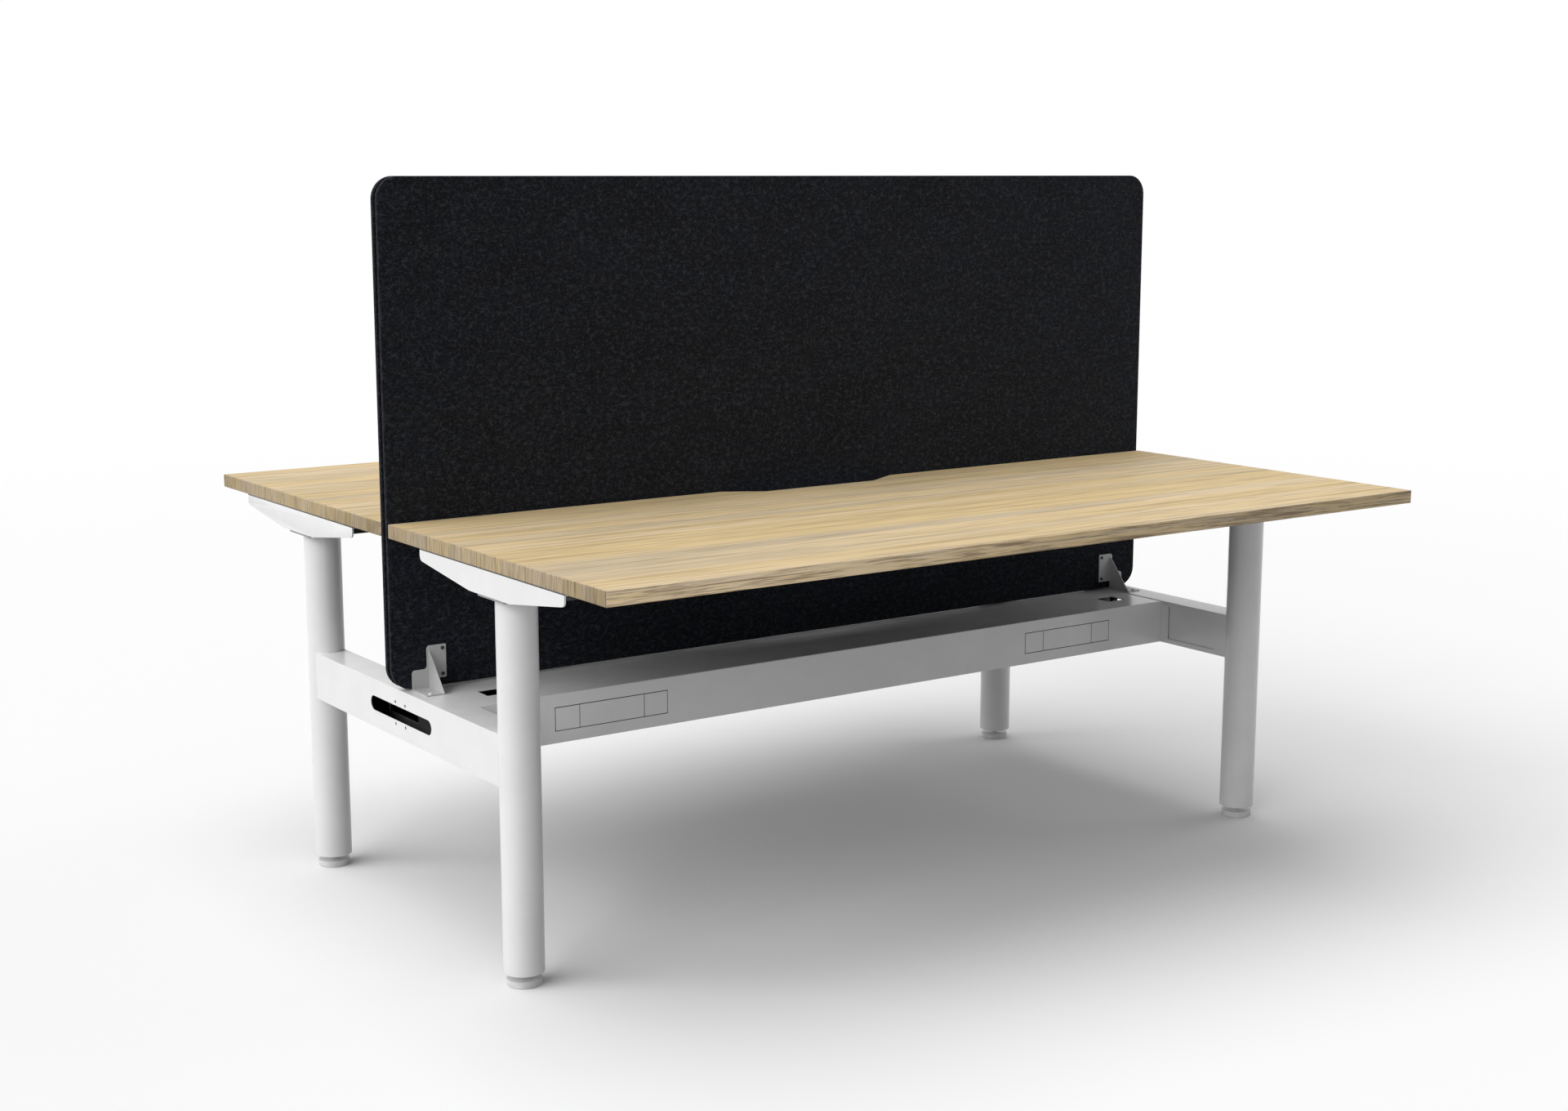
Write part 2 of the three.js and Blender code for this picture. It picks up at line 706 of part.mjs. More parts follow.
export default bench;
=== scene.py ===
import json
import math

import bpy
import numpy as np
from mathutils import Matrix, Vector


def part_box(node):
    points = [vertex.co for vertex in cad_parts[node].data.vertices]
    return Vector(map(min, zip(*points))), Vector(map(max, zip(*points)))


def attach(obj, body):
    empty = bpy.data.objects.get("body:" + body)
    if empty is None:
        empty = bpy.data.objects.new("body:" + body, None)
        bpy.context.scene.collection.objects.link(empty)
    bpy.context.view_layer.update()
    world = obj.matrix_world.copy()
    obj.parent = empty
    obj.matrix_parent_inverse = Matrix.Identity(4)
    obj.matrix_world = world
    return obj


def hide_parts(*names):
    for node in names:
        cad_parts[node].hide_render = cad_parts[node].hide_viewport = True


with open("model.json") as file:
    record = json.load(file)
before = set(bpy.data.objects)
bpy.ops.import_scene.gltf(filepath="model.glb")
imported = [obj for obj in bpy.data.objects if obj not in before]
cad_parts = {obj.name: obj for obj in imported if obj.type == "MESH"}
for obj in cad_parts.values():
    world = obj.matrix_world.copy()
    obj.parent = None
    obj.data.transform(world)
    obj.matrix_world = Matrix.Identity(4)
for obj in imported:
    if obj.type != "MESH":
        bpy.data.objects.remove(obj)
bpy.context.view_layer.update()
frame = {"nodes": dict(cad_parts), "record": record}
nodes = frame["nodes"]
print("frame loaded:", len(nodes), "nodes")

desks = ("front", "rear")
hands = ("left", "right")
fitGap = 0.0003  # between neighbouring solids of the CAD part


# Shapes worked out as arrays

# Closed outline through corners (u, v, radius): each round corner is an arc tangent to both its sides.
# A guard point just beyond each end of an arc keeps the shading of the straight sides flat.
def roundedOutline(corners, steps, guard=0.0):
    count = len(corners)
    at = np.array([corner[:2] for corner in corners], float)
    parts = []
    for i, corner in enumerate(corners):
        radius = corner[2] if len(corner) > 2 else 0.0
        if radius <= 0:
            parts.append(at[i:i + 1])
            continue
        back, ahead = at[i - 1] - at[i], at[(i + 1) % count] - at[i]
        back, ahead = back / np.linalg.norm(back), ahead / np.linalg.norm(ahead)
        half = math.acos(np.clip(back @ ahead, -1, 1)) / 2
        reach = radius / math.tan(half)
        inward = (back + ahead) / np.linalg.norm(back + ahead)
        centre = at[i] + inward * radius / math.sin(half)
        first = at[i] + back * reach - centre
        turn = np.sign(back[1] * ahead[0] - back[0] * ahead[1]) * (math.pi - 2 * half)
        angle = math.atan2(first[1], first[0]) + np.linspace(0, turn, steps + 1)
        arc = centre + radius * np.stack([np.cos(angle), np.sin(angle)], axis=1)
        if guard:
            arc = np.vstack([at[i] + back * (reach + guard), arc, at[i] + ahead * (reach + guard)])
        parts.append(arc)
    return np.vstack(parts)


# Closed rectangle with four equal round corners.
def roundedRectangle(lowU, lowV, highU, highV, radius, steps, guard=0.0):
    corners = [(lowU, lowV, radius), (highU, lowV, radius), (highU, highV, radius), (lowU, highV, radius)]
    return roundedOutline(corners, steps, guard)


# Outward unit offsets of a counter-clockwise outline, lengthened at corners so that sides stay parallel.
def outwardOffsets(outline):
    ahead = np.roll(outline, -1, axis=0) - outline
    ahead /= np.linalg.norm(ahead, axis=1, keepdims=True)
    normalAhead = np.stack([ahead[:, 1], -ahead[:, 0]], axis=1)
    normalBack = np.roll(normalAhead, 1, axis=0)
    share = 1 + (normalAhead * normalBack).sum(axis=1, keepdims=True)
    return (normalAhead + normalBack) / share


# Quads of a grid whose columns close on themselves, and whose rows do too on a ring.
def gridQuads(rows, columns, ringed=False):
    r = np.arange(rows if ringed else rows - 1)[:, None]
    c = np.arange(columns)[None, :]
    nextRow, nextColumn = (r + 1) % rows, (c + 1) % columns
    here, ahead = r * columns, nextRow * columns
    corners = [here + c, here + nextColumn, ahead + nextColumn, ahead + c]
    return np.stack(corners, axis=-1).reshape(-1, 4)


# A stack of closed loops with a flat cap on each end, or a ring of loops with none.
def loopShell(loops, sideFinish=0, capFinish=0, ringed=False):
    rows, columns = loops.shape[:2]
    quads = gridQuads(rows, columns, ringed)
    sides = np.broadcast_to(np.asarray(sideFinish), (columns,))
    finish = np.tile(sides, len(quads) // columns).tolist()
    smooth = [True] * len(quads)
    faces = quads.tolist()
    if not ringed:
        faces += [np.arange(columns)[::-1].tolist(), ((rows - 1) * columns + np.arange(columns)).tolist()]
        finish += np.broadcast_to(capFinish, (2,)).tolist()
        smooth += [False, False]
    return loops.reshape(-1, 3), faces, finish, smooth


# Plate: loop k is the outline moved inward by inset k at height k, and both rims are quarter circles.
def plateLoops(outline, thickness, rim, steps, guard=0.0004):
    turn = np.linspace(0, math.pi / 2, steps + 1)
    inset, rise = rim * (1 - np.sin(turn)), rim * (1 - np.cos(turn))
    insets = np.concatenate([[rim + guard], inset, [0, 0], inset[::-1], [rim + guard]])
    straight = [rim + guard, thickness - rim - guard]
    heights = np.concatenate([[0], rise, straight, thickness - rise[::-1], [thickness]])
    flat = outline[None] - outwardOffsets(outline)[None] * insets[:, None, None]
    lift = np.broadcast_to(heights[:, None, None], flat.shape[:2] + (1,))
    return np.concatenate([flat, lift], axis=2)


# Turned piece: the point of profile step k and side i is radius k at angle i, at height k.
def turnedLoops(profile, centre, sides=96):
    angle = np.arange(sides) * 2 * math.pi / sides
    ring = np.stack([np.cos(angle), np.sin(angle)], axis=1)
    flat = profile[:, 0][:, None, None] * ring[None] + np.asarray(centre[:2])[None, None]
    lift = np.broadcast_to(profile[:, 1][:, None, None], flat.shape[:2] + (1,))
    return np.concatenate([flat, lift], axis=2)


# Points whose local up turns into the given direction, moved to a place.
def stoodOn(points, place, up):
    up = Vector(up).normalized()
    turn = np.array(Vector((0, 0, 1)).rotation_difference(up).to_matrix())
    return points @ turn.T + np.asarray(place)


# One mesh object of several shells, at the origin, riding on a body and standing for CAD nodes.
def makePiece(name, shells, finishes, body, stoodFor=()):
    points, faces, finish, smooth = [], [], [], []
    start = 0
    for shellPoints, shellFaces, shellFinish, shellSmooth in shells:
        points.append(shellPoints)
        faces += [[start + i for i in face] for face in shellFaces]
        finish += shellFinish
        smooth += shellSmooth
        start += len(shellPoints)
    mesh = bpy.data.meshes.new(name)
    mesh.from_pydata(np.concatenate(points).tolist(), [], faces)
    for material in finishes:
        mesh.materials.append(material)
    mesh.polygons.foreach_set("material_index", np.array(finish, np.int32))
    mesh.polygons.foreach_set("use_smooth", np.array(smooth, bool))
    mesh.update()
    piece = bpy.data.objects.new(name, mesh)
    bpy.context.scene.collection.objects.link(piece)
    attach(piece, body)
    if stoodFor:
        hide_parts(*stoodFor)


# Finishes

def newFinish(name, colour, roughness, metallic=0.0, specular=0.5):
    material = bpy.data.materials.new(name)
    material.use_nodes = True
    shader = material.node_tree.nodes["Principled BSDF"]
    shader.inputs["Base Color"].default_value = (*colour, 1)
    shader.inputs["Roughness"].default_value = roughness
    shader.inputs["Metallic"].default_value = metallic
    shader.inputs["Specular IOR Level"].default_value = specular
    material.diffuse_color = (*colour, 1)
    return material, material.node_tree, shader


def addNode(tree, kind, values=None, **settings):
    node = tree.nodes.new(kind)
    for key, value in settings.items():
        setattr(node, key, value)
    for key, value in (values or {}).items():
        if isinstance(value, bpy.types.NodeSocket):
            tree.links.new(value, node.inputs[key])
        else:
            node.inputs[key].default_value = value
    return node


# Object coordinates, stretched: a small number along an axis draws the pattern out along it.
def stretched(tree, stretch):
    place = addNode(tree, "ShaderNodeTexCoord").outputs["Object"]
    return addNode(tree, "ShaderNodeMapping", {"Vector": place, "Scale": stretch}).outputs["Vector"]


noiseSpan = (0.3, 0.7)  # nearly all of a noise lies between these


def noise(tree, place, scale, detail, rough=0.55, warp=0.0):
    values = {"Vector": place, "Scale": scale, "Detail": detail, "Roughness": rough, "Distortion": warp}
    return addNode(tree, "ShaderNodeTexNoise", values).outputs["Fac"]


def ramp(tree, factor, stops):
    node = addNode(tree, "ShaderNodeValToRGB", {"Fac": factor})
    elements = node.color_ramp.elements
    while len(elements) < len(stops):
        elements.new(0.5)
    for element, (position, colour) in zip(elements, stops):
        element.position = position
        element.color = (*colour, 1)
    return node.outputs["Color"]


# Of this node's sockets, inputs 6 and 7 and output 2 are the ones for colours
def blendColour(tree, factor, a, b):
    return addNode(tree, "ShaderNodeMix", {0: factor, 6: a, 7: b}, data_type="RGBA").outputs[2]


def spread(tree, value, low, high, toLow, toHigh):
    values = {"Value": value, "From Min": low, "From Max": high, "To Min": toLow, "To Max": toHigh}
    return addNode(tree, "ShaderNodeMapRange", values).outputs["Result"]


# A tone laid over a colour: its share grows from none at the pattern's first edge to the most at its second
def laidOver(tree, pattern, edges, most, colour, tone):
    return blendColour(tree, spread(tree, pattern, *edges, 0, most), colour, (*tone, 1))


# A colour clouded with a slightly darker one, and the cloud itself
def clouded(tree, place, look, colour):
    cloud = noise(tree, place, *look["cloud"])
    soft = tuple(look["soft"] * part for part in colour)
    return cloud, ramp(tree, cloud, list(zip(look["cloudEdges"], (soft, colour))))


def bumpInto(tree, shader, height, strength, distance):
    values = {"Height": height, "Strength": strength, "Distance": distance}
    node = addNode(tree, "ShaderNodeBump", values)
    tree.links.new(node.outputs["Normal"], shader.inputs["Normal"])


# Oak foil: honey and pale bands, grey streaks, brown streaks and fine pores, all drawn out along the grain.
# On the long edge the brown streaks are stronger and wander; on the ends short lines stand upright.
# A noise is given as its detail and roughness, a cut as the scales and shares of the four patterns.
oakTones = {"honey": (0.70, 0.535, 0.29), "pale": (0.73, 0.58, 0.38), "grey": (0.505, 0.43, 0.315),
            "brown": (0.30, 0.222, 0.135)}
oakLook = {"bandNoise": (3, 0.5), "greyNoise": (4, 0.6), "streakNoise": (4, 0.6), "poreNoise": (3, 0.6),
           "bandEdges": (0.41, 0.59), "greyEdges": (0.5, 0.68), "streakEdges": (0.51, 0.65),
           "poreEdges": (0.51, 0.62), "otherPlace": (3.7, 5.3, 1.9), "specular": 0.06,
           "roughness": (0.54, 0.66), "bump": (0.12, 0.0003)}
# Each cut's shade factor scales its tones: the long edges are greyer and also painted lighter than the face,
# painted light that makes up for the light they get; the end edges are darker and greyer in tone
oakTop = {"stretch": (0.024, 1, 1), "bands": 10, "greys": 14, "streaks": 95, "pores": 260, "greyShare": 0.8,
          "brownShare": 0.45, "poreShare": 0.45, "wander": 0.25, "shade": (1, 1, 1)}
oakLong = {"stretch": (0.03, 1, 1), "bands": 60, "greys": 95, "streaks": 150, "pores": 420, "greyShare": 0.9,
           "brownShare": 1.0, "poreShare": 0.8, "wander": 0.9, "shade": (1.1, 1.11, 1.17)}
oakEnd = {"stretch": (1, 1, 0.05), "bands": 26, "greys": 48, "streaks": 140, "pores": 330, "greyShare": 0.8,
          "brownShare": 0.75, "poreShare": 0.7, "wander": 0.1, "shade": (0.77, 0.78, 0.82)}


def oakFinish(name, cut):
    # The cut's shade factor carries painted light on the long edges
    tone = {key: tuple(a * b for a, b in zip(value, cut["shade"])) for key, value in oakTones.items()}
    middle = sum(oakLook["roughness"]) / 2
    material, tree, shader = newFinish(name, tone["honey"], middle, specular=oakLook["specular"])
    place = stretched(tree, cut["stretch"])
    values = {0: place, 1: oakLook["otherPlace"]}
    other = addNode(tree, "ShaderNodeVectorMath", values, operation="ADD").outputs["Vector"]
    bands = noise(tree, place, cut["bands"], *oakLook["bandNoise"], cut["wander"])
    greys = noise(tree, other, cut["greys"], *oakLook["greyNoise"], cut["wander"])
    streaks = noise(tree, place, cut["streaks"], *oakLook["streakNoise"], cut["wander"])
    pores = noise(tree, other, cut["pores"], *oakLook["poreNoise"])
    colour = laidOver(tree, bands, oakLook["bandEdges"], 1, (*tone["honey"], 1), tone["pale"])
    colour = laidOver(tree, greys, oakLook["greyEdges"], cut["greyShare"], colour, tone["grey"])
    colour = laidOver(tree, streaks, oakLook["streakEdges"], cut["brownShare"], colour, tone["brown"])
    colour = laidOver(tree, pores, oakLook["poreEdges"], cut["poreShare"], colour, tone["brown"])
    tree.links.new(colour, shader.inputs["Base Color"])
    tree.links.new(spread(tree, streaks, *noiseSpan, *oakLook["roughness"]), shader.inputs["Roughness"])
    bumpInto(tree, shader, pores, *oakLook["bump"])
    return material


# Share of a painted-shade zone: 1 where the distances from the middle planes lie between the given lows and
# highs
def paintedShadeShare(tree, shadeZone):
    place = addNode(tree, "ShaderNodeTexCoord").outputs["Object"]
    parts = addNode(tree, "ShaderNodeSeparateXYZ", {"Vector": place}).outputs
    share = 1.0
    for axis, (low, high) in shadeZone.items():
        away = addNode(tree, "ShaderNodeMath", {0: parts[axis]}, operation="ABSOLUTE").outputs[0]
        limits = {0: away, 1: (low + high) / 2, 2: (high - low) / 2}
        between = addNode(tree, "ShaderNodeMath", limits, operation="COMPARE").outputs[0]
        share = addNode(tree, "ShaderNodeMath", {0: between, 1: share}, operation="MULTIPLY").outputs[0]
    return share


# Powder coat: a soft orange-peel bump and slightly uneven gloss; inside a given zone the coat is painted dark
# as shade.
# Cloud and peel are given as scale and detail.
powderLook = {"cloud": (14, 3), "cloudEdges": (0.35, 0.65), "soft": 0.965, "glossSpread": (-0.03, 0.04),
              "peel": (110, 0), "bump": (0.04, 0.0002)}
# Dark tones painted in as shade inside the beams, round the plates and along the arms' top edges
paintedShadeDark = (0.012, 0.012, 0.0125)
paintedShadeGrey = (0.07, 0.07, 0.071)


def powderFinish(name, colour, roughness, shadeZone=None, shadeTone=paintedShadeDark):
    material, tree, shader = newFinish(name, colour, roughness)
    place = stretched(tree, (1, 1, 1))
    cloud, coat = clouded(tree, place, powderLook, colour)
    # Painted shade: the coat turns dark inside the zone
    if shadeZone:
        coat = blendColour(tree, paintedShadeShare(tree, shadeZone), coat, (*shadeTone, 1))
    tree.links.new(coat, shader.inputs["Base Color"])
    gloss = [roughness + part for part in powderLook["glossSpread"]]
    tree.links.new(spread(tree, cloud, *noiseSpan, *gloss), shader.inputs["Roughness"])
    bumpInto(tree, shader, noise(tree, place, *powderLook["peel"]), *powderLook["bump"])
    return material


# Pressed felt: a fine speckle of fibres over flat, soft mottling, with a hint of blue in places
feltTones = {"deep": (0.0022, 0.0025, 0.0033), "mid": (0.0098, 0.0111, 0.0140), "pale": (0.041, 0.045, 0.057),
             "blue": (0.0088, 0.0114, 0.0192)}
feltLook = {"roughness": 0.95, "specular": 0.12, "sheen": 0.03, "sheenRoughness": 0.6, "bump": (0.5, 0.0008)}
# Each pattern: its stretch along the screen, then scale, detail and roughness of its noise
feltPatterns = {"tint": (0.5, 34, 4, 0.7), "cloud": (0.35, 16, 4, 0.65), "mottle": (0.7, 135, 2, 0.6),
                "speckle": (0.8, 290, 3, 0.7)}
# Each layer: its pattern, the edges, the most that it covers, and its tone
feltLayers = (
    ("tint", (0.42, 0.6), 1.0, "blue"), ("cloud", (0.54, 0.38), 0.5, "deep"),
    ("mottle", (0.5, 0.34), 0.8, "deep"), ("mottle", (0.52, 0.7), 0.75, "pale"),
    ("speckle", (0.5, 0.66), 0.6, "pale"), ("speckle", (0.5, 0.36), 0.8, "deep"),
)


def feltFinish(name):
    mid = feltTones["mid"]
    material, tree, shader = newFinish(name, mid, feltLook["roughness"], specular=feltLook["specular"])
    shader.inputs["Sheen Weight"].default_value = feltLook["sheen"]
    shader.inputs["Sheen Roughness"].default_value = feltLook["sheenRoughness"]
    patterns = {pattern: noise(tree, stretched(tree, (along, 1, 1)), *setting)
                for pattern, (along, *setting) in feltPatterns.items()}
    colour = (*mid, 1)
    for pattern, edges, most, tone in feltLayers:
        colour = laidOver(tree, patterns[pattern], edges, most, colour, feltTones[tone])
    tree.links.new(colour, shader.inputs["Base Color"])
    bumpInto(tree, shader, patterns["speckle"], *feltLook["bump"])
    return material


# Moulded plastic: a fine spark texture. Cloud and spark are given as scale and detail.
mouldedLook = {"cloud": (60, 3), "cloudEdges": (0.35, 0.65), "soft": 0.9, "specular": 0.4, "spark": (1400, 2),
               "bump": (0.15, 0.0002)}


def mouldedFinish(name, colour, roughness):
    material, tree, shader = newFinish(name, colour, roughness, specular=mouldedLook["specular"])
    place = stretched(tree, (1, 1, 1))
    mottled = clouded(tree, place, mouldedLook, colour)[1]
    tree.links.new(mottled, shader.inputs["Base Color"])
    bumpInto(tree, shader, noise(tree, place, *mouldedLook["spark"]), *mouldedLook["bump"])
    return material


# Bright zinc: faint clouded spangle, given as scale and detail
zincLook = {"colour": (0.6, 0.61, 0.62), "dark": (0.54, 0.55, 0.56), "light": (0.66, 0.67, 0.68),
            "spangle": (120, 3), "roughness": (0.24, 0.38)}


def zincFinish(name):
    middle = sum(zincLook["roughness"]) / 2
    material, tree, shader = newFinish(name, zincLook["colour"], middle, metallic=1.0)
    cloud = noise(tree, stretched(tree, (1, 1, 1)), *zincLook["spangle"])
    tree.links.new(spread(tree, cloud, *noiseSpan, *zincLook["roughness"]), shader.inputs["Roughness"])
    spangle = ramp(tree, cloud, list(zip(noiseSpan, (zincLook["dark"], zincLook["light"]))))
    tree.links.new(spangle, shader.inputs["Base Color"])
    return material


oakFace = oakFinish("oakFace", oakTop)
oakLongEdge = oakFinish("oakLongEdge", oakLong)
oakEndEdge = oakFinish("oakEndEdge", oakEnd)
frameWhite = (0.89, 0.89, 0.89)
frameRough = 0.22
whitePowder = powderFinish("whitePowder", frameWhite, frameRough)
plateGrey = powderFinish("plateGrey", (0.33, 0.33, 0.33), 0.4)
backingGrey = mouldedFinish("backingGrey", (0.3, 0.3, 0.295), 0.6)
blackPowder = powderFinish("blackPowder", (0.018, 0.018, 0.019), 0.42)
charcoalFelt = feltFinish("charcoalFelt")
darkCore = mouldedFinish("darkCore", (0.006, 0.006, 0.0065), 0.8)
brightZinc = zincFinish("brightZinc")
motorBlack = powderFinish("motorBlack", (0.02, 0.02, 0.021), 0.5)
greyFoot = mouldedFinish("greyFoot", (0.8, 0.8, 0.795), 0.42)
blackMoulded = mouldedFinish("blackMoulded", (0.016, 0.016, 0.017), 0.45)
greyRocker = mouldedFinish("greyRocker", (0.2, 0.2, 0.205), 0.45)

# Beams, plates and arms with painted shade: faces inside the beams, round the outlet plates and on the
# liner's back are painted dark as shade, and a thin band along each arm's top edge too; a painted zone begins
# one skin behind the outer faces
skin = {"beam": 0.001, "cover": 0.0015, "outlet": 0.0005, "liner": 0.0007, "armEdge": 0.0018}
endLow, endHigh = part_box("end_beam_right")
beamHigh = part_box("cable_beam")[1]
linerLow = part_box("end_liner_right")[0]
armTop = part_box("front_arm_left")[1].z
# Painted shade inside the end beams and the cable beam, round the outlet plates and behind the liner
endShadeInside = {"X": (endLow.x + skin["beam"], endHigh.x - skin["beam"]),
             "Z": (endLow.z + skin["beam"], endHigh.z - skin["beam"])}
beamShadeInside = {"Y": (0, beamHigh.y - skin["beam"]),
              "Z": (endLow.z + skin["beam"], beamHigh.z - skin["cover"])}
outletShadeBehind = {"Y": (0, beamHigh.y - skin["outlet"])}
linerShadeBack = {"X": (linerLow.x + skin["liner"], endHigh.x)}
# Painted shadow line: a thin dark band along the arm's top edge, under the board's edge
armTopShadeLine = {"Z": (armTop - skin["armEdge"], armTop + skin["armEdge"])}
finishOfNode = {
    "end_beam": powderFinish("endBeamShell", frameWhite, frameRough, endShadeInside, paintedShadeGrey),
    "cable_beam": powderFinish("cableBeamShell", frameWhite, frameRough, beamShadeInside),
    "outlet_plate": powderFinish("outletShell", frameWhite, frameRough, outletShadeBehind),
    "end_liner": powderFinish("linerShell", frameWhite, frameRough, linerShadeBack, paintedShadeGrey),
    "arm": powderFinish("armShell", frameWhite, frameRough, armTopShadeLine, paintedShadeGrey),
    "screen_bracket": powderFinish("bracketGrey", (0.55, 0.55, 0.55), 0.35),
}
finishOfSlot = {
    "oak_top": oakFace, "white_frame": whitePowder, "white_cover": whitePowder, "black_frame": blackPowder,
    "charcoal_felt": charcoalFelt, "dark_core": darkCore, "bright_steel": brightZinc,
    "motor_case": motorBlack, "grey_foot": greyFoot, "black_plastic": blackMoulded, "grey_rocker": greyRocker,
}
print("finishes made:", len(finishOfSlot))


# Carried-over CAD nodes: their finish, and softened edges where they show

softEdges = {"arm": 0.0012, "end_beam": 0.0009, "cable_beam": 0.0007, "beam_cover": 0.0005,
             "outlet_plate": 0.0004, "screen_bracket": 0.0004, "rail": 0.0015, "control_box": 0.002,
             "handset": 0.0015, "rocker": 0.0005, "end_liner": 0.0004}
softening = {"segments": 2, "mergeWithin": 1e-6, "flatWithin": 0.5, "edgeOver": 35}  # the last two in degrees


# The entry whose key is part of the node's name
def entryFor(table, nodeName):
    return next((value for key, value in table.items() if key in nodeName), None)


def softenEdges(node, width):
    node.modifiers.new("join", "WELD").merge_threshold = softening["mergeWithin"]
    flatten = node.modifiers.new("flatten", "DECIMATE")
    flatten.decimate_type = "DISSOLVE"
    flatten.angle_limit = math.radians(softening["flatWithin"])
    soften = node.modifiers.new("soften", "BEVEL")
    soften.width = width
    soften.segments = softening["segments"]
    soften.limit_method = "ANGLE"
    soften.angle_limit = math.radians(softening["edgeOver"])


for part in frame["record"]["subparts"]:
    node = nodes[part["node"]]
    node.data.materials.clear()
    node.data.materials.append(entryFor(finishOfNode, part["node"]) or finishOfSlot[part["material_slot"]])
    width = entryFor(softEdges, part["node"])
    if width:
        softenEdges(node, width)
print("CAD nodes finished")


# Desktops

deskShape = {"scallopFloor": 0.260, "scallopRun": 0.076, "scallopDepth": 0.045, "scallopRadius": 0.025,
             "rim": 0.0011, "arcSteps": 12, "rimSteps": 3}


# The front desktop's outline has the scallop in its back edge; the rear one is turned half round.
def makeDesktop(desk):
    low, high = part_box(desk + "_desktop")
    turn = 1 if desk == "front" else -1
    front, back = (low.y, high.y) if turn > 0 else (-high.y, -low.y)
    floorEnd = deskShape["scallopFloor"] / 2
    mouthEnd = floorEnd + deskShape["scallopRun"]
    inner, radius = back - deskShape["scallopDepth"], deskShape["scallopRadius"]
    outline = turn * roundedOutline([
        (low.x, front), (high.x, front), (high.x, back), (mouthEnd, back, radius), (floorEnd, inner, radius),
        (-floorEnd, inner, radius), (-mouthEnd, back, radius), (low.x, back)], deskShape["arcSteps"])
    flat = plateLoops(outline, high.z - low.z, deskShape["rim"], deskShape["rimSteps"])
    side = np.roll(outline, -1, axis=0) - outline
    face, longEdge, endEdge, backing = range(4)  # places in the list of finishes
    finishes = [oakFace, oakLongEdge, oakEndEdge, backingGrey]
    edges = np.where(np.abs(side[:, 0]) > np.abs(side[:, 1]), longEdge, endEdge)
    board = loopShell(flat + np.array([0, 0, low.z]), edges, (backing, face))
    makePiece(desk + "Board", [board], finishes, desk + "_desk", [desk + "_desktop"])


for desk in desks:
    makeDesktop(desk)
print("desktops made")


# Screen

screenShape = {"corner": 0.040, "rim": 0.0022, "coreInset": 0.005, "coreRim": 0.0006, "arcSteps": 16,
               "rimSteps": 4}


# A screen layer is a rounded rectangle in the upright plane given a thickness across it.
def makeLayer(name, node, corner, rim, finish):
    low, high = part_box(node)
    outline = roundedRectangle(low.x, low.z, high.x, high.z, corner, screenShape["arcSteps"])
    loops = plateLoops(outline, high.y - low.y, rim, screenShape["rimSteps"])
    upright = np.stack([loops[..., 0], high.y - loops[..., 2], loops[..., 1]], axis=-1)
    makePiece(name, [loopShell(upright)], [finish], "base", [node])


for name, node in (("feltFront", "screen_felt_front"), ("feltRear", "screen_felt_rear")):
    makeLayer(name, node, screenShape["corner"], screenShape["rim"], charcoalFelt)
coreCorner = screenShape["corner"] - screenShape["coreInset"]
makeLayer("screenCore", "screen_core", coreCorner, screenShape["coreRim"], darkCore)
print("screen made")


# Columns

columnShape = {"legWall": 0.0025, "liftWall": 0.0025, "liftRadius": 0.030, "glideHeight": 0.060,
               "rim": 0.0006, "rimSteps": 3, "guard": 0.0006}
headShape = {"thickness": 0.004, "corner": 0.004, "rim": 0.0007, "cornerSteps": 6, "rimSteps": 3}
footShape = {"rim": 0.0008, "topRim": 0.0007, "rimSteps": 5, "stemRadius": 0.006, "stemRim": 0.001,
             "discHeight": 0.011, "soleShare": 0.5}


def columnAxis(node):
    low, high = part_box(node)
    return (low.x + high.x) / 2, (low.y + high.y) / 2


def pieceName(kind, desk, hand):
    return kind + desk.capitalize() + hand.capitalize()


# Tube: a closed wall profile with round rims, turned about the column axis.
def tubeShell(outer, inner, bottom, top, centre):
    rim, steps, guard = columnShape["rim"], columnShape["rimSteps"], columnShape["guard"]
    wall = roundedRectangle(inner, bottom, outer, top, rim, steps, guard)
    return loopShell(turnedLoops(wall, centre), ringed=True)


# Outer tube of a column
def makeLeg(desk, hand, outer, centre):
    node = f"{desk}_leg_{hand}"
    low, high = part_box(node)
    tube = tubeShell(outer, outer - columnShape["legWall"], low.z, high.z, centre)
    makePiece(pieceName("leg", desk, hand), [tube], [whitePowder], "base", [node])


# Inner tube with its glide band, and the head plate on top in the second finish
def makeLift(desk, hand, legOuter, centre):
    node = f"{desk}_lift_tube_{hand}"
    low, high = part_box(node)
    radius, band = columnShape["liftRadius"], legOuter - columnShape["legWall"] - fitGap
    bore = radius - columnShape["liftWall"]
    glideTop = low.z + columnShape["glideHeight"]
    headBottom = high.z - headShape["thickness"]
    tube = tubeShell(radius, bore, glideTop, headBottom, centre)
    glide = tubeShell(band, bore, low.z, glideTop, centre)
    outline = roundedRectangle(low.x, low.y, high.x, high.y, headShape["corner"], headShape["cornerSteps"])
    flat = plateLoops(outline, headShape["thickness"], headShape["rim"], headShape["rimSteps"])
    head = loopShell(flat + np.array([0, 0, headBottom]), 1, 1)
    makePiece(pieceName("lift", desk, hand), [tube, glide, head], [whitePowder, plateGrey], desk + "_desk",
              [node])


